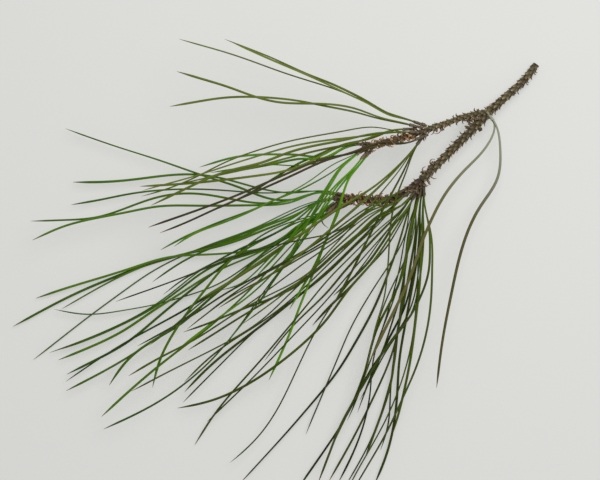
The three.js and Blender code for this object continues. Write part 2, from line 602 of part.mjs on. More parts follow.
// ---------- the branch ----------
const branch = new THREE.Group();
branch.name = "pine_branch";
for (const { name, solid, material } of solids) {
  const { vertProperties, triVerts, numProp } = solid.getMesh();
  const geometry = new THREE.BufferGeometry();
  const coordinates = new Float32Array((vertProperties.length / numProp) * 3);
  for (let i = 0; i < coordinates.length / 3; i++)
    for (let c = 0; c < 3; c++) coordinates[3 * i + c] = vertProperties[numProp * i + c];
  geometry.setAttribute("position", new THREE.BufferAttribute(coordinates, 3));
  geometry.setIndex(new THREE.BufferAttribute(new Uint32Array(triVerts), 1));
  geometry.computeVertexNormals();
  const mesh = new THREE.Mesh(geometry, material.clone());
  mesh.name = name;
  branch.add(mesh);
}
const box = new THREE.Box3().setFromObject(branch);
const shift = new THREE.Vector3(-(box.min.x + box.max.x) / 2, -(box.min.y + box.max.y) / 2, -box.min.z);
for (const mesh of branch.children) mesh.geometry.translate(shift.x, shift.y, shift.z);

export default branch;
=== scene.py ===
# A cut pine branch that lies on a pale table, seen from straight above. Metres, +Z up, the table is z = 0.
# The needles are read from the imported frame: every bundle's solid gives the middle lines of its needles and
# the two ends of its sheath. The bark, the curled scale leaves and the sheaths are built here in full detail.
import math
import random

import bpy
import numpy as np
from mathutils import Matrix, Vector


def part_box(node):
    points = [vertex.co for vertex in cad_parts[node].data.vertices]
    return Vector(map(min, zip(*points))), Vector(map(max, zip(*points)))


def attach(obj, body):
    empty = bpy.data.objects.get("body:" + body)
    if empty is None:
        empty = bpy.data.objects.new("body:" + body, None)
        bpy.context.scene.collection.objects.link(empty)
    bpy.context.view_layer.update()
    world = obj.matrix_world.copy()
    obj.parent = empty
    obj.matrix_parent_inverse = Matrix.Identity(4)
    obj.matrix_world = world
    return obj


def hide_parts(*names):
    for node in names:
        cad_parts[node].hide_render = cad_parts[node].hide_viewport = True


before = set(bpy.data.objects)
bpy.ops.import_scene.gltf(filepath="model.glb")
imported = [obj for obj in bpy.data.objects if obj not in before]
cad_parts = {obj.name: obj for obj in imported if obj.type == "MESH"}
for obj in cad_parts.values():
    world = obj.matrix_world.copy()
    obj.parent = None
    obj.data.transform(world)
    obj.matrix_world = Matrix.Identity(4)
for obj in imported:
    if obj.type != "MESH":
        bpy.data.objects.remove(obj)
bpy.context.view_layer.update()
random.seed(7)

MM = 0.001
UP = np.array([0.0, 0.0, 1.0])
FULL_TURN = 2 * math.pi
GOLDEN_ANGLE = math.pi * (3 - math.sqrt(5))

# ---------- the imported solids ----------
# A needle's solid is a row of three-cornered rings with a point at the end. A sheath's has a ring at either
# end.
SOLID_RINGS = 8
NEEDLE_CORNERS = 3
SHEATH_CORNERS = 5
MERGE_DIGITS = 6  # decimals of a metre in which two corners agree when they are one

# ---------- sizes of a needle ----------
NEEDLE_SIZE = 0.80 * MM  # radius of its round back
PAIR_SIZE = 0.8  # the same in a bundle of two, over that in a bundle of three
PAIR_FACE = [(0.25, -0.04), (-0.25, -0.04)]  # its inner face there: side and out, over the radius
ROOT_SIZE = 0.64  # its size in the sheath, over its full size
ROOT_SHARE = 0.3  # share of its length over which it reaches the full size
TIP_LENGTH = 9 * MM  # length over which it tapers to its point
TIP_POWER = 0.62  # of the taper: the lower, the blunter
TIP_STOP = 0.03  # share of the tip at which the taper stops
TWIST = 1.6  # the most that it turns about its own line, in radians
TWIST_POWER = 1.3  # above 1, so that most of the turn is near the tip
TABLE_GAP = 0.75 * MM  # its middle line is never lower than this
NEEDLE_STEPS = 64
BACK_POINTS = 8  # of its outline, over the round back
RIDGE_MARK = 2.0  # what its material reads on the inner ridge; the back has 0 to 1
START_SHARE = 0.45  # where it starts inside the sheath, from foot to lip
START_SPREAD = 0.25 * MM  # distance from the sheath's middle there
MOUTH_SPREAD = 0.40 * MM  # and at the mouth
BUNDLE_TONE = 0.6  # share of its tone that its whole bundle has in common

# ---------- sizes of a sheath ----------
SHEATH_RADIUS = 0.66 * MM  # at the foot
SHEATH_FLARE = 0.26 * MM  # how much wider the mouth is
FLARE_POWER = 0.8
SHEATH_WALL = 0.07 * MM
LINING_WALL = 0.09 * MM  # the same at the end of the lining, the wall's inner face
LINING_RINGS = 4  # how far the lining goes down from the mouth
LINING_SHARE = 0.8  # its place on the sheath, as the material reads it
SHEATH_ROOT = 1.3 * MM  # length that stands before the foot of the solid
SHEATH_SIDES = 14
SHEATH_RINGS = 22
TORN_EDGE = (-1.1 * MM, 0.9 * MM)
TORN_SHARE = 0.25  # of the length: the part that the torn edge pulls out of shape
RING_WAVES = ((0.05 * MM, 17), (0.03 * MM, 41))  # height, and radians from foot to mouth
FOLD_WAVES = ((0.05 * MM, 2, 5), (0.03 * MM, 5, 0))  # height, number round the sheath, radians to the mouth
WAVE_STARTS = (0, 6.28)  # radians

# ---------- sizes of the bark and of what stands on it ----------
PEG_STEP = 0.50 * MM  # from one scale base to the next, along the stem
PEG_SCATTER = 0.4  # of that step, either way
PEG_TURN = 0.14  # scatter round the stem, in radians, either way
PEG_LENGTH = 3.0 * MM
PEG_LENGTHS = (0.8, 1.1)  # of one peg, over PEG_LENGTH
PEG_REACH = 0.7  # how far from its middle a peg shows, over PEG_LENGTH
PEG_WIDTH = 1.2 * MM  # half of it, round the stem
PEG_HEIGHT = 1.15 * MM
PEG_HEIGHTS = (0.45, 1.25)  # of one peg, over PEG_HEIGHT
PEG_LEAN = 0.45 * MM  # how far a peg's top leans towards the tip of the stem
PEG_RISE = 1.7  # power of the slow rise to its edge
PEG_FALL = 9  # slope of the steep fall past its edge
PEG_EDGE = 0.55  # width at its edge, over its full width
PEG_WIDENING = 2.2  # how fast it widens behind the edge
PEG_CROWN = 0.8  # power of its rounding from side to side
BARE_STEM = 0.88  # radius between the pegs, over the radius of the wood
BARK_GRAIN = 0.035 * MM
BARK_STEP = 0.17 * MM  # spacing of the bark's rings
BARK_SIDES = 56
END_ROUNDING = [0.97, 0.9, 0.78, 0.6, 0.35, 0.05]  # radius of the last rings, over the radius of the wood
SCALES_SHED = 0.12  # share of the bases on a shoot that has lost its scale
SCALE_SEAT = 0.8  # where a scale stands, over the radius of the wood
BRACTS_KEPT = 0.6  # share of the bases that still has a bract
BRACT_SEAT = 0.45  # height of a bract's foot over the bare stem, in millimetres
BRACT_SINK = 0.4 * MM  # and how far it stands back along the stem
BARE_BASES = 4  # bases without a bract at either end of the wood
COLLAR_BRACTS = 5
COLLAR_RADIUS = 0.5 * MM
COLLAR_PLACES = (0.4, 1.4)  # millimetres before the foot of the sheath

# ---------- sizes of a scale leaf ----------
LEAF_THICKNESS = 0.2 * MM
LEAF_STEPS = 10
LEAF_POINTS = 4  # across it
LEAF_TIP = 0.05 * MM  # half its width at the tip
LEAF_POINTING = 2.2  # power with which it narrows
LEAF_FOOT = 0.8  # width at its foot, over the given width
LEAF_BELLY = 0.8  # how far its sides swell: a quarter of this is added halfway
LEAF_TEAR = (0.75, 1.2)  # scatter of its edges
LEAF_CUP = 0.5  # depth over half its width
CURL_POWER = 1.25  # above 1, so that it curls most near the tip

# Of each kind of leaf the least and the most: length and width in millimetres, the angle at which it leaves
# the stem, its curl and its sway to the side in radians, and its tone (0 dark to 1 light). A remnant has a
# length and a curl of its own, below.
LEAVES = {
    "bud scale": dict(
        length=(2.4, 4.6),
        width=(1.5, 2.5),
        start=(0.7, 1.3),
        curl=(1.4, 4.8),
        sway=(-0.6, 0.6),
        tone=(0, 1),
    ),
    "bract": dict(
        length=(0.9, 2.0),
        width=(0.9, 1.7),
        start=(0.5, 1.3),
        curl=(-0.6, 1.6),
        sway=(-0.5, 0.5),
        tone=(0, 0.6),
    ),
    "collar bract": dict(
        length=(1.8, 3.4),
        width=(1.0, 1.7),
        start=(0.1, 0.6),
        curl=(0, 1.8),
        sway=(-0.3, 0.3),
        tone=(0, 0.5),
    ),
    "remnant": dict(width=(1.4, 2.1), sway=(-0.3, 0.3), tone=(0.3, 0.9)),
}

# The middle of the fork, between the solids that meet there, on the table.
stem_low = np.array(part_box("main_stem")[0])
twig_high = np.array(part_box("lower_twig")[1])
FORK = ((stem_low + twig_high) / 2 - np.array([0.7, 0.16, 0]) * MM) * [1, 1, 0]

# Middle lines of the wood in millimetres from the fork, with the radius at even distances along them.
# `scales` is the stretch, in millimetres along the shoot, that carries curled bud scales.
WOOD = {
    "main_stem": dict(
        axis=[(27.3, 27, 2.7), (21, 18.5, 4), (14, 12, 5.8), (6, 5, 7.8), (-1.6, -1.6, 9)],
        radius=(1.75, 1.85, 1.9, 2.0, 2.5),
        cut=True,
    ),
    "upper_twig": dict(
        axis=[
            (2.5, 1.4, 8.8), (-2, 0.1, 9.6), (-8, -1, 12), (-16, -3.5, 15.2), (-25, -6.5, 18.2),
            (-34, -9.8, 20.7),
        ],
        radius=(1.9, 1.5, 1.3, 1.25, 1.3),
    ),
    "upper_shoot": dict(
        axis=[(-33, -9.5, 20.5), (-42, -12.5, 22), (-55, -16, 23), (-66, -19, 23), (-70, -20.3, 22.7)],
        radius=(1.35, 1.2, 1.0),
        scales=(7, 32),
    ),
    "lower_twig": dict(
        axis=[(1.8, 1.4, 8.6), (-7, -8, 9), (-13, -14, 9.8), (-23, -24, 11.5), (-36.6, -37.6, 13.6)],
        radius=(2.4, 2.25, 2.1, 2.0, 2.2),
    ),
    "lower_shoot": dict(
        axis=[
            (-36, -37, 13.5), (-40, -40, 13.8), (-47, -45, 14), (-58, -48, 13.6), (-72, -47.2, 12.6),
            (-85, -47.3, 11.3),
        ],
        radius=(2.2, 1.9, 1.7, 1.4),
        scales=(16, 46),
    ),
}

# The stub of a shed shoot on the lower twig: foot, head and radius, in millimetres from the fork.
KNOB = ((-5.8, -7.3, 9.1), (-2.6, -9.6, 9.5), 1.15)
KNOB_POINTS = 20

# Dry remnants left on the twigs: foot (millimetres from the fork), first direction, length (millimetres) and
# curl (radians).
REMNANTS = {
    "upper_twig": [
        ((-8.5, -2.6, 12.2), (-0.3, -1, 0.1), 5.4, 4.2),
        ((-9.8, -3.0, 12.6), (-0.6, -1, 0), 6, -3.6),
        ((-7.4, -2.4, 12), (0.2, -1, 0.3), 4, 3.8),
        ((-11, -3.4, 13), (-0.9, -0.8, 0.2), 4.5, 4),
        ((-29.4, -9.2, 19.2), (-0.1, -1, 0), 3.6, 1.1),
        ((-28.2, -8.8, 19), (0.3, -1, 0.2), 3, -2.2),
        ((-25.6, -8.4, 18.2), (-0.1, -1, 0), 6, 2.4),
        ((-25, -8.2, 18.4), (0.4, -1, 0.2), 4.4, 3.6),
    ],
    "lower_twig": [
        ((-29.6, -29, 13), (-1, 0.5, 0.1), 6.4, 3.9),
        ((-30.3, -29.6, 13.2), (-1, 0.1, 0.3), 5, -4),
        ((-29.2, -28.4, 12.8), (-0.8, 0.8, 0), 5.4, 4.4),
        ((-32.6, -32.4, 13.2), (-1, -0.1, 0.1), 7.5, -2.6),
        ((-33.4, -33, 13.4), (-1, 0.2, 0.2), 5.6, 3.4),
        ((-33, -35.6, 13), (0.3, -1, 0), 5.6, 1.4),
        ((-31.6, -34.4, 13), (0.6, -1, 0.1), 4.6, -1.6),
        ((-4.2, -1.6, 10.6), (-0.4, -1, 0), 4.6, 2.8),
        ((-5.6, -2.4, 10.8), (-0.8, -1, 0.2), 5, -2.6),
        ((-8.4, -7, 10.6), (-1, 0.7, 0.2), 5.4, 3.4),
        ((-7, -5.6, 10.4), (-0.7, 1, 0.1), 5, -3),
        ((-9.6, -8.2, 10.6), (-1, 0.3, 0.2), 4.6, -2.4),
    ],
}

# Of each tuft: the colours of its needles (dark and light, then the base and the share of the length over
# which that fades), the colours of its sheaths (dark and light), the share of a sheath that has not worn off,
# and the size of its needles over NEEDLE_SIZE.
TUFTS = {
    "lower_end": dict(
        needles=dict(dark=(0.008, 0.029, 0.001), light=(0.070, 0.165, 0.002), base=(0.065, 0.22, 0.004)),
        fade=0.38,
        sheath=dict(dark=(0.045, 0.030, 0.014), light=(0.24, 0.16, 0.085)),
        cover=0.9,
        width=1.0,
    ),
    "upper_end": dict(
        needles=dict(dark=(0.012, 0.056, 0.001), light=(0.105, 0.280, 0.002), base=(0.10, 0.31, 0.004)),
        fade=0.40,
        sheath=dict(dark=(0.06, 0.042, 0.022), light=(0.26, 0.18, 0.10)),
        cover=0.45,
        width=1.0,
    ),
    "lower_whorl": dict(
        needles=dict(dark=(0.011, 0.019, 0.001), light=(0.060, 0.095, 0.003), base=(0.074, 0.120, 0.006)),
        fade=0.45,
        sheath=dict(dark=(0.022, 0.017, 0.006), light=(0.095, 0.072, 0.030)),
        cover=0.5,
        width=1.0,
    ),
    "upper_whorl": dict(
        needles=dict(dark=(0.032, 0.048, 0.002), light=(0.120, 0.165, 0.012), base=(0.085, 0.105, 0.016)),
        fade=0.16,
        sheath=dict(dark=(0.035, 0.027, 0.013), light=(0.135, 0.108, 0.056)),
        cover=0.55,
        width=1.0,
    ),
    "loose": dict(
        needles=dict(dark=(0.044, 0.039, 0.008), light=(0.105, 0.098, 0.028), base=(0.29, 0.31, 0.22)),
        fade=0.4,
        sheath=dict(dark=(0.17, 0.18, 0.11), light=(0.38, 0.40, 0.28)),
        cover=1,
        width=1.3,
    ),
}

# The bundle that has dried to a dark brown.
DRIED = "upper_whorl_fascicle_4"
DRIED_NEEDLES = dict(dark=(0.028, 0.022, 0.006), light=(0.075, 0.062, 0.018), base=(0.06, 0.05, 0.02))

# The broken needle that hangs from the lower end tuft in a hook, in millimetres from the fork, and its tone.
HOOK = [(-84, -49, 12.5), (-88, -52, 12), (-91, -57, 11.5), (-90.5, -60.5, 11.2), (-87, -63.5, 11)]
HOOK_TONE = 0.8


# ---------- lines and sweeps ----------
def unit(v):
    return v / np.linalg.norm(v)


def gaps(points):
    """Distance from each point to the next."""
    return np.linalg.norm(np.diff(points, axis=0), axis=1)


def smooth_line(points, count, fineness=12):
    """Count evenly spaced points of the smooth curve (a natural cubic spline) through the given points. The
    even spacing is measured on fineness times as many points."""
    points = np.asarray(points, float)
    at = np.concatenate([[0], np.cumsum(gaps(points))])
    step = np.diff(at)
    slope = np.diff(points, axis=0) / step[:, None]
    system, right = np.eye(len(at)), np.zeros_like(points)
    for i in range(1, len(at) - 1):
        system[i, i - 1 : i + 2] = step[i - 1], 2 * (step[i - 1] + step[i]), step[i]
        right[i] = 6 * (slope[i] - slope[i - 1])
    bend = np.linalg.solve(system, right)

    def curve(where):
        k = np.clip(np.searchsorted(at, where) - 1, 0, len(step) - 1)
        s, h = (where - at[k])[:, None], step[k][:, None]
        linear = slope[k] - h * (2 * bend[k] + bend[k + 1]) / 6
        return points[k] + s * linear + s**2 * bend[k] / 2 + s**3 * (bend[k + 1] - bend[k]) / (6 * h)

    fine = curve(np.linspace(0, at[-1], fineness * count))
    reach = np.concatenate([[0], np.cumsum(gaps(fine))])
    even = np.linspace(0, reach[-1], count)
    return np.stack([np.interp(even, reach, fine[:, c]) for c in range(3)], axis=1)


def moving_frame(line, first):
    """Along, out and side directions at every point of the line; out starts near first and never twists."""
    along = np.gradient(line, axis=0)
    along /= np.linalg.norm(along, axis=1)[:, None]
    out = np.zeros_like(along)
    now = np.asarray(first, float)
    for i, direction in enumerate(along):
        now = unit(now - direction * (now @ direction))
        out[i] = now
    return along, out, np.cross(along, out)


def square_to(along):
    """Two directions square to along and to each other, the first of them level."""
    x = unit(np.cross(along, UP))
    return x, np.cross(along, x)


def tube_faces(rings, sides):
    """Quads of a tube, then one face over its first ring and one over its last."""
    faces = []
    for i in range(rings - 1):
        for k in range(sides):
            a, b = i * sides + k, i * sides + (k + 1) % sides
            faces.append((a, b, b + sides, a + sides))
    faces.append(tuple(range(sides - 1, -1, -1)))
    faces.append(tuple(range((rings - 1) * sides, rings * sides)))
    return faces


class Build:
    """Points, faces and marks of one piece in the making. A mark is three numbers that its material reads."""

    def __init__(self):
        self.points, self.marks, self.faces, self.slots = [], [], [], []
        self.count = 0

    def add_tube(self, points, *marks):
        """A tube through points, which are rings of points. Each mark is one number, or numbers by ring (in a
        column) or by side (in a row)."""
        rings, sides = points.shape[:2]
        faces = tube_faces(rings, sides)
        self.points.append(points.reshape(-1, 3))
        self.marks.append(np.stack(np.broadcast_arrays(*marks), axis=-1).reshape(-1, 3))
        self.faces.extend(tuple(self.count + i for i in face) for face in faces)
        self.slots.extend([0] * len(faces))
        self.count += rings * sides

    def piece(self, name, materials, slot, nodes=(), sharp=60):
        """The finished piece, riding on the frame and standing for the given CAD nodes. Edges that turn by
        more than sharp degrees stay sharp."""
        mesh = bpy.data.meshes.new(name)
        mesh.from_pydata(np.concatenate(self.points).tolist(), [], self.faces)
        for material in materials:
            mesh.materials.append(material)
        mesh.polygons.foreach_set("material_index", self.slots)
        mesh.polygons.foreach_set("use_smooth", [True] * len(self.faces))
        marks = mesh.attributes.new("mark", "FLOAT_VECTOR", "POINT")
        marks.data.foreach_set("vector", np.concatenate(self.marks).astype(np.float32).ravel())
        mesh.set_sharp_from_angle(angle=math.radians(sharp))
        mesh.update()
        made = bpy.data.objects.new(name, mesh)
        bpy.context.scene.collection.objects.link(made)
        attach(made, "root")
        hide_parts(*nodes)


# ---------- what the frame holds ----------
def skin(node):
    """Points of a CAD node, doubled ones merged, and the neighbours of each."""
    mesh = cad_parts[node].data
    corners = np.round([vertex.co[:] for vertex in mesh.vertices], MERGE_DIGITS)
    points, index = np.unique(corners, axis=0, return_inverse=True)
    index = index.ravel()
    neighbours = [set() for _ in points]
    for edge in mesh.edges:
        a, b = index[edge.vertices[0]], index[edge.vertices[1]]
        neighbours[a].add(b)
        neighbours[b].add(a)
    return points, neighbours


def bundle(node):
    """Middle lines of a bundle's needles (out of the sheath, tip last), and the foot and mouth of its sheath.
    From the point of a needle's solid, each step over the edges reaches its next ring."""
    points, neighbours = skin(node)
    lines, used = [], set()
    for tip in range(len(points)):
        seen, front, line = {tip}, {tip}, [points[tip]]
        while len(line) <= SOLID_RINGS:
            front = set().union(*(neighbours[v] for v in front)) - seen
            if len(front) != NEEDLE_CORNERS:
                break
            seen |= front
            line.append(points[list(front)].mean(axis=0))
        else:
            lines.append(line[::-1])
            used |= seen
    rest = points[[v for v in range(len(points)) if v not in used]]
    way = unit(np.mean([line[0] for line in lines], axis=0) - rest.mean(axis=0))
    order = np.argsort(rest @ way)
    foot = rest[order[:SHEATH_CORNERS]].mean(axis=0)
    mouth = rest[order[SHEATH_CORNERS:]].mean(axis=0)
    return lines, foot, mouth


# ---------- needles ----------
def needle_section(count):
    """Outline of a needle, square to its length, as (side, out) pairs: a round back and two flat faces that
    meet in a ridge, because the count needles of a bundle together make one round rod."""
    half = math.pi / count
    back = [(math.sin(a), math.cos(a)) for a in np.linspace(-half, half, BACK_POINTS)]
    ridge = [(0.0, 0.0)] if count > 2 else PAIR_FACE
    outline = np.array(back + ridge)
    return outline - [0, outline[:, 1].mean()]


def add_needle(build, line, out, count, tone, width):
    """One needle of a bundle of count along the line, its back facing out at the sheath."""
    line = smooth_line(line, NEEDLE_STEPS)
    line[:, 2] = np.maximum(line[:, 2], TABLE_GAP)
    section = needle_section(count) * NEEDLE_SIZE * (width if count > 2 else width * PAIR_SIZE)
    _, out, side = moving_frame(line, out)
    share = np.linspace(0, 1, NEEDLE_STEPS)
    to_tip = (1 - share) * gaps(line).sum()
    taper = np.clip(to_tip / TIP_LENGTH, TIP_STOP, 1) ** TIP_POWER
    size = taper * (ROOT_SIZE + (1 - ROOT_SIZE) * np.clip(share / ROOT_SHARE, 0, 1))
    turn = random.uniform(-TWIST, TWIST) * share**TWIST_POWER
    x = section[:, 0] * np.cos(turn)[:, None] - section[:, 1] * np.sin(turn)[:, None]
    y = section[:, 0] * np.sin(turn)[:, None] + section[:, 1] * np.cos(turn)[:, None]
    ring = side[:, None] * x[..., None] + out[:, None] * y[..., None]
    back = np.abs(np.linspace(-1, 1, BACK_POINTS))
    across = np.concatenate([back, np.full(len(section) - BACK_POINTS, RIDGE_MARK)])
    build.add_tube(line[:, None] + ring * size[:, None, None], share[:, None], across, tone)


def spread(lines, foot, mouth):
    """Directions, square to the sheath, in which the needles leave its middle: evenly turned round it, and
    each as near as possible to where its needle goes."""
    x, y = square_to(unit(mouth - foot))
    count = len(lines)
    angles = [math.atan2((line[0] - mouth) @ y, (line[0] - mouth) @ x) for line in lines]
    order = sorted(range(count), key=lambda i: angles[i])
    offsets = [angles[i] - FULL_TURN * k / count for k, i in enumerate(order)]
    first = math.atan2(sum(map(math.sin, offsets)), sum(map(math.cos, offsets)))
    outs = [None] * count
    for k, i in enumerate(order):
        angle = first + FULL_TURN * k / count
        outs[i] = x * math.cos(angle) + y * math.sin(angle)
    return outs


def add_sheath(build, foot, mouth, tone):
    """A papery tube of wrapped scales: rippled, a little wider at the mouth, with a torn edge and a wall."""
    along = unit(mouth - foot)
    x, y = square_to(along)
    foot = foot - along * SHEATH_ROOT
    length = np.linalg.norm(mouth - foot)
    angle = np.linspace(0, FULL_TURN, SHEATH_SIDES, endpoint=False)
    torn = np.array([random.uniform(*TORN_EDGE) for _ in angle])
    ring_starts = [random.uniform(*WAVE_STARTS) for _ in RING_WAVES]
    fold_starts = [random.uniform(*WAVE_STARTS) for _ in FOLD_WAVES]
    radial = x * np.cos(angle)[:, None] + y * np.sin(angle)[:, None]
    share = np.linspace(0, 1, SHEATH_RINGS)
    shells = []
    for t in share:
        radius = SHEATH_RADIUS + SHEATH_FLARE * t**FLARE_POWER + np.zeros(SHEATH_SIDES)
        for (height, waves), start in zip(RING_WAVES, ring_starts):
            radius += height * math.sin(waves * t + start)
        for (height, folds, winding), start in zip(FOLD_WAVES, fold_starts):
            radius += height * np.sin(folds * angle + winding * t + start)
        reach = length * t + torn * max(0, 1 - (1 - t) / TORN_SHARE)
        shells.append(foot + along * reach[:, None] + radial * radius[:, None])
    lip = shells[-1] - radial * SHEATH_WALL
    lining = shells[-1 - LINING_RINGS] - radial * LINING_WALL
    share = np.concatenate([share, [1, LINING_SHARE]])
    build.add_tube(np.array([*shells, lip, lining]), share[:, None], angle / math.pi, tone)


# ---------- bark ----------
def bark_relief(reach, angle, radius, length):
    """Height of the scale bases over the bare stem, as shares of PEG_HEIGHT, for every ring and side."""
    height = np.zeros((len(reach), len(angle)))
    for i in range(int(length / PEG_STEP)):
        start = (i + random.uniform(-PEG_SCATTER, PEG_SCATTER)) * PEG_STEP
        centre = i * GOLDEN_ANGLE + random.uniform(-PEG_TURN, PEG_TURN)
        size = random.uniform(*PEG_HEIGHTS)
        rows = np.abs(reach - start + PEG_LENGTH / 2) < PEG_LENGTH * PEG_REACH
        u = (reach[rows] - start) / (PEG_LENGTH * random.uniform(*PEG_LENGTHS))
        turn = (angle - centre + math.pi) % FULL_TURN - math.pi
        v = turn * radius[rows][:, None] / PEG_WIDTH
        ramp = np.where(u < 0, np.clip(1 + u, 0, 1) ** PEG_RISE, np.clip(1 - u * PEG_FALL, 0, 1))
        narrow = PEG_EDGE + (1 - PEG_EDGE) * np.clip(-u * PEG_WIDENING, 0, 1)
        crown = np.clip(1 - (v / narrow[:, None]) ** 2, 0, 1) ** PEG_CROWN
        height[rows] = np.maximum(height[rows], ramp[:, None] * crown * size)
    return height


def add_bark(build, line, radii, cut):
    """A length of stem: a spiral of saw-toothed scale bases that lean towards the tip. Its ends are rounded,
    but the first is flat and bare where the stem was cut."""
    length = gaps(line).sum()
    rings = int(length / BARK_STEP)
    line = smooth_line(line, rings)
    along, out, side = moving_frame(line, UP)
    reach = np.linspace(0, length, rings)
    angle = np.linspace(0, FULL_TURN, BARK_SIDES, endpoint=False)
    radius = np.interp(reach, np.linspace(0, length, len(radii)), radii) * MM
    height = bark_relief(reach, angle, radius, length)
    grain = np.array([[random.uniform(-BARK_GRAIN, BARK_GRAIN) for _ in angle] for _ in reach])
    ends = np.ones(rings)
    ends[-len(END_ROUNDING) :] = END_ROUNDING
    if not cut:
        ends[: len(END_ROUNDING)] = END_ROUNDING[::-1]
    far = (radius[:, None] * BARE_STEM + height * PEG_HEIGHT + grain) * ends[:, None]
    radial = out[:, None] * np.cos(angle)[:, None] + side[:, None] * np.sin(angle)[:, None]
    lean = height**2 * PEG_LEAN * ends[:, None]
    points = line[:, None] + radial * far[..., None] + along[:, None] * lean[..., None]
    build.add_tube(points, reach[:, None] / length, angle / math.pi, height)
    if cut:
        build.slots[-2] = 1  # the face over the first ring is bare wood


# ---------- scale leaves ----------
def draw(kind):
    """The measures of one leaf of a kind, each drawn from its range."""
    return {name: random.uniform(*limits) for name, limits in LEAVES[kind].items()}


def add_leaf(build, root, along, out, length, width, start, curl, sway, tone):
    """A thin dry scale leaf: it leaves the stem at the angle start (from along towards out) and curls by curl
    radians on its way to the tip."""
    side = np.cross(along, out)
    share = np.linspace(0, 1, LEAF_STEPS)
    angle = start + curl * share**CURL_POWER
    way = along * np.cos(angle)[:, None] + out * np.sin(angle)[:, None] + side * (sway * share)[:, None]
    way /= np.linalg.norm(way, axis=1)[:, None]
    walked = np.concatenate([[np.zeros(3)], np.cumsum(way[:-1], axis=0)])
    line = root + walked * (length * MM) / (LEAF_STEPS - 1)
    face = np.cross(way, side)
    face /= np.linalg.norm(face, axis=1)[:, None]
    belly = LEAF_FOOT + LEAF_BELLY * share * (1 - share)
    half = (width * MM) / 2 * (1 - share**LEAF_POINTING) * belly + LEAF_TIP
    torn = np.array([[random.uniform(*LEAF_TEAR) for _ in range(2)] for _ in share])
    spots = np.linspace(-1, 1, LEAF_POINTS)
    edges = np.where(spots > 0, torn[:, 1:], torn[:, :1])
    reach = half[:, None] * spots * edges
    depth = half[:, None] * spots**2 * LEAF_CUP
    sheet = line[:, None] + side * reach[..., None] + face[:, None] * depth[..., None]
    shift = face[:, None] * LEAF_THICKNESS / 2
    outline = np.concatenate([sheet + shift, (sheet - shift)[:, ::-1]], axis=1)
    build.add_tube(outline, share[:, None], np.tile(spots, 2), tone)


def scale_bases(line):
    """Of every scale base in the stem's spiral: the point on the middle line, along and outwards."""
    middle = smooth_line(line, int(gaps(line).sum() / PEG_STEP))
    along, out, side = moving_frame(middle, UP)
    angle = (np.arange(len(middle)) * GOLDEN_ANGLE)[:, None]
    return middle, along, out * np.cos(angle) + side * np.sin(angle)


def add_bud_scales(build, line, radii, first, last):
    """The curled bud scales of a shoot, from first to last (mm along it), one on almost every scale base."""
    places = np.linspace(0, gaps(line).sum() / MM, len(radii))
    middle, along, outwards = scale_bases(line)
    for i in range(len(middle)):
        reach = i * PEG_STEP / MM
        if not first < reach < last or random.random() < SCALES_SHED:
            continue
        radius = np.interp(reach, places, radii) * MM
        root = middle[i] + outwards[i] * radius * SCALE_SEAT
        add_leaf(build, root, along[i], outwards[i], **draw("bud scale"))


def add_bracts(build, line, radii):
    """Small dry bract tips on the scale bases that still have one."""
    middle, along, outwards = scale_bases(line)
    for i in range(BARE_BASES, len(middle) - BARE_BASES):
        if random.random() > BRACTS_KEPT:
            continue
        radius = np.interp(i / len(middle), np.linspace(0, 1, len(radii)), radii)
        seat = (radius * BARE_STEM + BRACT_SEAT) * MM
        root = middle[i] + outwards[i] * seat - along[i] * BRACT_SINK
        add_leaf(build, root, along[i], outwards[i], **draw("bract"))


def add_remnant(build, foot, way, length, curl):
    """A long narrow dry remnant that rolls up as it leaves the twig."""
    way = unit(np.array(way, float))
    out = unit(np.cross(np.cross(way, UP), way))
    turn = out if random.random() < 0.5 else unit(np.cross(way, out))
    root = FORK + np.array(foot) * MM
    add_leaf(build, root, way, turn, length=length, start=0, curl=curl, **draw("remnant"))


def add_collar(build, foot, along):
    """The short dry bracts that stand round the foot of a sheath."""
    x, y = square_to(along)
    first = random.uniform(0, FULL_TURN)
    for k in range(COLLAR_BRACTS):
        angle = first + k * GOLDEN_ANGLE
        radial = x * math.cos(angle) + y * math.sin(angle)
        root = foot + radial * COLLAR_RADIUS - along * random.uniform(*COLLAR_PLACES) * MM
        add_leaf(build, root, along, radial, **draw("collar bract"))


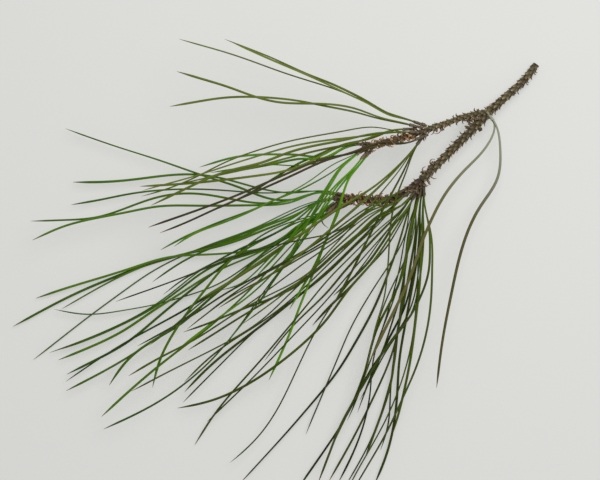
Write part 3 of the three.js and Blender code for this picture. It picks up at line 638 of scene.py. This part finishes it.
# ---------- materials ----------
class Paint:
    """A new material and short ways to add its nodes. A value is a number, a colour or a node's output."""

    def __init__(self, name, roughness, specular=0.5):
        self.material = bpy.data.materials.new(name)
        self.material.use_nodes = True
        self.nodes = self.material.node_tree.nodes
        self.links = self.material.node_tree.links
        self.shader = self.nodes["Principled BSDF"]
        self.shader.inputs["Roughness"].default_value = roughness
        self.shader.inputs["Specular IOR Level"].default_value = specular

    def node(self, kind, **values):
        made = self.nodes.new(kind)
        for name, value in values.items():
            setattr(made, name, value)
        return made

    def feed(self, socket, value):
        """Sets a socket to a number or a colour, or links it to a node's output."""
        if isinstance(value, tuple):
            socket.default_value = (*value, 1)
        elif isinstance(value, (int, float)):
            socket.default_value = value
        else:
            self.links.new(value, socket)

    def marks(self):
        """The three numbers that the piece stores at its points."""
        attribute = self.node("ShaderNodeAttribute", attribute_name="mark")
        split = self.node("ShaderNodeSeparateXYZ")
        self.links.new(attribute.outputs["Vector"], split.inputs[0])
        return split.outputs

    def noise(self, scale, detail, place=None):
        """Noise from 0 to 1 over the piece's own space, in waves per metre, or over another place."""
        made = self.node("ShaderNodeTexNoise")
        made.inputs["Scale"].default_value = scale
        made.inputs["Detail"].default_value = detail
        if place is None:
            place = self.node("ShaderNodeTexCoord").outputs["Object"]
        self.links.new(place, made.inputs["Vector"])
        return made.outputs["Fac"]

    def math(self, operation, a, b=0.0):
        made = self.node("ShaderNodeMath", operation=operation)
        self.feed(made.inputs[0], a)
        self.feed(made.inputs[1], b)
        return made.outputs[0]

    def weigh(self, a, a_weight, b, b_weight):
        """The sum of a and b, each times its weight."""
        return self.math("ADD", self.math("MULTIPLY", a, a_weight), self.math("MULTIPLY", b, b_weight))

    def band(self, value, source, target=(0, 1)):
        """Maps the range source of a value onto the range target, held at the ends."""
        made = self.node("ShaderNodeMapRange", clamp=True)
        self.links.new(value, made.inputs["Value"])
        for socket, number in zip(list(made.inputs)[1:5], (*source, *target)):
            socket.default_value = number
        return made.outputs["Result"]

    def mix(self, share, a, b):
        """Colour a at share 0 and b at share 1."""
        made = self.node("ShaderNodeMix", data_type="RGBA")
        self.links.new(share, made.inputs[0])
        self.feed(made.inputs[6], a)
        self.feed(made.inputs[7], b)
        return made.outputs[2]

    def vector(self, x, y, z):
        made = self.node("ShaderNodeCombineXYZ")
        for socket, value in zip(made.inputs, (x, y, z)):
            self.feed(socket, value)
        return made.outputs[0]

    def finish(self, colour, height, depth, roughness=None):
        """The material with its colour, a bump of the given depth and, if given, a roughness that varies."""
        self.links.new(colour, self.shader.inputs["Base Color"])
        bump = self.node("ShaderNodeBump")
        bump.inputs["Distance"].default_value = depth
        self.links.new(height, bump.inputs["Height"])
        self.links.new(bump.outputs[0], self.shader.inputs["Normal"])
        if roughness is not None:
            self.links.new(roughness, self.shader.inputs["Roughness"])
        return self.material


WITHERED_TIP = (0.20, 0.12, 0.03)
WITHERED_SHARE = 0.965  # share of a needle's length at which its withered tip begins
PALE_LINES = 19  # waves of the pale lines over half a needle's back, in radians
PALE_DOTS = 350  # dots along a needle, of which the pale lines are made
DOT_STRETCH = 0.01  # how little the dots change from line to line
WEATHERED_BARK = (0.14, 0.125, 0.075)
BARE_WOOD = (0.42, 0.30, 0.16)
SHINE_THROUGH = 0.35  # share of the light that passes through a scale leaf
FIBRES_ROUND = 9  # how many times finer the fibres of a sheath are round it
FIBRES_ALONG = 1.2  # and along it
SHEATH_BANDS = 24  # waves of its darker bands from foot to mouth, in radians
BAND_SHIFT = 9  # and how far its tone moves them
NEEDLE_BUMP = 0.02 * MM
BARK_BUMP = 0.12 * MM
LEAF_BUMP = 0.05 * MM
SHEATH_BUMP = 0.06 * MM


def needle_paint(name, dark, light, base, fade):
    """Waxy green with fine pale lines along the needle, a painted highlight that makes the flat inner faces
    paler, another tint near the sheath and yellow-brown at the tip.
    Marks: share of the length, place across the needle (0 to 1 over half the back, 2 on the ridge), tone."""
    paint = Paint(name, roughness=0.45, specular=0.12)
    share, across, tone = paint.marks()
    patches = paint.noise(scale=60, detail=2)
    lightness = paint.band(paint.weigh(patches, 0.6, tone, 0.8), (0.35, 1.05))
    colour = paint.mix(lightness, dark, light)
    colour = paint.mix(paint.band(share, (0.2 * fade, fade), (0.9, 0)), colour, base)
    lines = paint.math("SINE", paint.math("MULTIPLY", across, PALE_LINES))
    flat = paint.vector(share, paint.math("MULTIPLY", across, DOT_STRETCH), tone)
    dots = paint.band(paint.noise(PALE_DOTS, 2, flat), (0.35, 0.7), (0.05, 0.4))
    dotted_lines = paint.math("MULTIPLY", paint.band(lines, (0.3, 0.9)), dots)
    # Painted highlight: the flat inner faces are made paler, for the light and dark across a needle's width.
    painted_face_highlight = paint.band(across, (1.02, 1.3), (0, 0.18))
    # The pale colour serves both the real pale lines and that painted highlight.
    pale = (1.2 * light[0] + 0.03, 1.2 * light[1] + 0.03, light[2] + 0.008)
    colour = paint.mix(paint.math("ADD", dotted_lines, painted_face_highlight), colour, pale)
    colour = paint.mix(paint.band(share, (WITHERED_SHARE, 1), (0, 0.85)), colour, WITHERED_TIP)
    roughness = paint.band(paint.noise(scale=400, detail=2), (0.3, 0.7), (0.35, 0.55))
    return paint.finish(colour, lines, NEEDLE_BUMP, roughness)


def bark_paint(name, recess_shade, body, edge):
    """Dull bark: painted shade darkens it between the scale bases, and a painted highlight in the light edge
    colour lies along their raised tips, with grey weathered patches.
    Marks: share of the length, place round the stem, height of the scale base."""
    paint = Paint(name, roughness=0.9)
    _, _, height = paint.marks()
    grain = paint.noise(scale=900, detail=5)
    patches = paint.noise(scale=160, detail=3)
    # Painted shade: the lower the bark lies between the scale bases, the nearer it is to the dark recess
    # colour.
    colour = paint.mix(paint.band(height, (0.05, 0.55)), recess_shade, body)
    colour = paint.mix(paint.band(patches, (0.45, 0.75), (0, 0.45)), colour, WEATHERED_BARK)
    # Painted highlight: the raised tips of the scale bases take the light edge colour, broken up by the
    # grain.
    tips = paint.math("MULTIPLY", paint.band(height, (0.6, 0.95)), paint.band(grain, (0.4, 0.6)))
    colour = paint.mix(tips, colour, edge)
    return paint.finish(colour, grain, BARK_BUMP)


def leaf_paint(name, dark, light):
    """Thin dry scale leaves: dark at the root, lighter along the leaf and at its edges; light shines through.
    Marks: share of the length, place across, tone."""
    paint = Paint(name, roughness=0.55)
    share, across, tone = paint.marks()
    rim = tuple(min(1, 1.5 * part) for part in light)
    colour = paint.mix(paint.band(paint.weigh(share, 0.5, tone, 0.5), (0.1, 0.9)), dark, light)
    colour = paint.mix(paint.band(paint.math("ABSOLUTE", across), (0.5, 1), (0, 0.4)), colour, rim)
    material = paint.finish(colour, paint.noise(scale=1400, detail=3), LEAF_BUMP)
    through = paint.node("ShaderNodeBsdfTranslucent")
    paint.links.new(colour, through.inputs["Color"])
    both = paint.node("ShaderNodeMixShader")
    both.inputs[0].default_value = SHINE_THROUGH
    paint.links.new(paint.shader.outputs[0], both.inputs[1])
    paint.links.new(through.outputs[0], both.inputs[2])
    paint.links.new(both.outputs[0], paint.nodes["Material Output"].inputs["Surface"])
    return material


def sheath_paint(name, dark, light):
    """Fibrous paper: long fine fibres, darker bands, paler towards the mouth.
    Marks: share of the length, place round the sheath, tone."""
    paint = Paint(name, roughness=0.75)
    share, around, tone = paint.marks()
    turned = paint.math("MULTIPLY", around, FIBRES_ROUND)
    unrolled = paint.vector(turned, paint.math("MULTIPLY", share, FIBRES_ALONG), tone)
    fibres = paint.noise(scale=4, detail=4, place=unrolled)
    colour = paint.mix(paint.band(paint.weigh(share, 0.5, fibres, 0.8), (0.3, 1)), dark, light)
    bands = paint.math("SINE", paint.weigh(share, SHEATH_BANDS, tone, BAND_SHIFT))
    colour = paint.mix(paint.band(bands, (0.5, 1), (0, 0.5)), colour, dark)
    return paint.finish(colour, fibres, SHEATH_BUMP)


# For each bark, the first colour is painted shade between the scale bases and the last a painted highlight on
# their raised tips.
BARK = bark_paint("bark", (0.038, 0.028, 0.011), (0.155, 0.121, 0.052), (0.40, 0.31, 0.14))
YOUNG_BARK = bark_paint("young_bark", (0.028, 0.016, 0.007), (0.12, 0.075, 0.034), (0.30, 0.20, 0.10))
CUT_WOOD = bark_paint("cut_wood", BARE_WOOD, BARE_WOOD, BARE_WOOD)
BUD_SCALES = leaf_paint("bud_scales", (0.085, 0.038, 0.013), (0.66, 0.38, 0.18))
DRY_BRACTS = leaf_paint("dry_scales", (0.06, 0.038, 0.018), (0.36, 0.25, 0.14))


# ---------- the wood ----------
def make_wood(name, axis, radius, cut=False, scales=None):
    """One length of wood: its bark, the bracts on it and, on a shoot, the bud scales."""
    line = FORK + np.array(axis, float) * MM
    bark = Build()
    add_bark(bark, line, radius, cut)
    if name == "lower_twig":
        foot, head, knob_radius = KNOB
        knob = smooth_line(FORK + np.array([foot, head]) * MM, KNOB_POINTS)
        add_bark(bark, knob, (knob_radius, knob_radius), cut=False)
    paints, slot = ([YOUNG_BARK], "bark_shoot") if scales else ([BARK, CUT_WOOD], "bark")
    bark.piece(name + "_bark", paints, slot, [name], sharp=80)
    bracts = Build()
    add_bracts(bracts, line, radius)
    for remnant in REMNANTS.get(name, []):
        add_remnant(bracts, *remnant)
    bracts.piece(name + "_bracts", [DRY_BRACTS], "bark")
    if scales:
        bud_scales = Build()
        add_bud_scales(bud_scales, line, radius, *scales)
        bud_scales.piece(name + "_scales", [BUD_SCALES], "bark_shoot")


# ---------- the bundles of needles ----------
def bundle_number(node):
    """The number at the end of a bundle's name; the loose bundle has none."""
    last = node.split("_")[-1]
    return int(last) if last.isdigit() else 0


def make_tuft(tuft, needles, fade, sheath, cover, width):
    """A tuft: the needles of each bundle are a piece, all its sheaths another and all its collars a third."""
    slot = "needles_" + tuft
    paint = needle_paint(slot, **needles, fade=fade)
    sheaths, collars = Build(), Build()
    nodes = [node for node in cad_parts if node.startswith(tuft) and "fascicle" in node]
    for node in sorted(nodes, key=bundle_number):
        lines, foot, mouth = bundle(node)
        lip = foot + (mouth - foot) * cover
        made = Build()
        bundle_tone = random.random()
        for line, out in zip(lines, spread(lines, foot, mouth)):
            start = foot + (lip - foot) * START_SHARE + out * START_SPREAD
            edge = mouth + out * MOUTH_SPREAD
            tone = bundle_tone * BUNDLE_TONE + random.random() * (1 - BUNDLE_TONE)
            add_needle(made, [start, edge, *line], out, len(lines), tone, width)
        coat = needle_paint(slot + "_dried", **DRIED_NEEDLES, fade=fade) if node == DRIED else paint
        made.piece(node.replace("fascicle", "needles"), [coat], slot, [node], sharp=50)
        add_sheath(sheaths, foot, lip, random.random())
        add_collar(collars, foot, unit(mouth - foot))
    collars.piece(tuft + "_collars", [DRY_BRACTS], "bark_shoot")
    sheaths.piece(tuft + "_sheaths", [sheath_paint(tuft + "_sheaths", **sheath)], "bark_shoot")
    if tuft == "lower_end":
        hook = Build()
        add_needle(hook, FORK + np.array(HOOK) * MM, UP, 2, HOOK_TONE, width)
        hook.piece("broken_needle", [paint], slot, sharp=50)


for name, wood in WOOD.items():
    make_wood(name, **wood)
for name, look in TUFTS.items():
    make_tuft(name, **look)

# ---------- table, light and camera ----------
FLOOR_REACH = 30  # from the middle to each side
FLOOR_COLOUR = (0.30, 0.30, 0.29)
FLOOR_GLOW = (1.0, 1.0, 0.965)  # the table glows, so that it shows next to no shadow
GLOW_STRENGTH = 0.41
SKY_COLOUR = (0.97, 0.98, 1.0)
SKY_STRENGTH = 0.4
SOFTBOX_PLACE = (0.32, 0.40, 0.8)
SOFTBOX_SIZE = 0.8
SOFTBOX_POWER = 7.5
VIEW_WIDTH = 0.330  # of the table, across the picture
VIEW_CENTRE = (0.0132, 0.0141)
VIEW_PLANE = 0.012  # the height at which that width is true
VIEW_DISTANCE = 4.0
SENSOR_WIDTH = 36  # millimetres, as the lens is
VIEW_END = 100


def make_floor():
    mesh = bpy.data.meshes.new("floor")
    corners = [(x * FLOOR_REACH, y * FLOOR_REACH, 0) for x, y in ((-1, -1), (1, -1), (1, 1), (-1, 1))]
    mesh.from_pydata(corners, [], [(0, 1, 2, 3)])
    paint = Paint("floor", roughness=0.9, specular=0.1)
    paint.feed(paint.shader.inputs["Base Color"], FLOOR_COLOUR)
    paint.feed(paint.shader.inputs["Emission Color"], FLOOR_GLOW)
    paint.feed(paint.shader.inputs["Emission Strength"], GLOW_STRENGTH)
    mesh.materials.append(paint.material)
    floor = bpy.data.objects.new("floor", mesh)
    bpy.context.scene.collection.objects.link(floor)


def make_sky():
    world = bpy.data.worlds.new("studio")
    world.use_nodes = True
    background = world.node_tree.nodes["Background"]
    background.inputs["Color"].default_value = (*SKY_COLOUR, 1)
    background.inputs["Strength"].default_value = SKY_STRENGTH
    bpy.context.scene.world = world


def make_softbox():
    """A round lamp that points at the middle of the branch, and that the camera doesn't see."""
    lamp = bpy.data.lights.new("softbox", "AREA")
    lamp.shape = "DISK"
    lamp.size = SOFTBOX_SIZE
    lamp.energy = SOFTBOX_POWER
    softbox = bpy.data.objects.new("softbox", lamp)
    softbox.location = SOFTBOX_PLACE
    softbox.rotation_euler = (-softbox.location).to_track_quat("-Z", "Y").to_euler()
    softbox.visible_camera = False
    bpy.context.scene.collection.objects.link(softbox)


def make_camera():
    """Straight above the branch, looking down."""
    lens = bpy.data.cameras.new("camera")
    lens.sensor_width = SENSOR_WIDTH
    lens.lens = SENSOR_WIDTH * VIEW_DISTANCE / VIEW_WIDTH
    lens.clip_end = VIEW_END
    camera = bpy.data.objects.new("camera", lens)
    camera.location = (*VIEW_CENTRE, VIEW_PLANE + VIEW_DISTANCE)
    bpy.context.scene.collection.objects.link(camera)
    bpy.context.scene.camera = camera


make_floor()
make_sky()
make_softbox()
make_camera()
bpy.context.scene.view_settings.view_transform = "Standard"
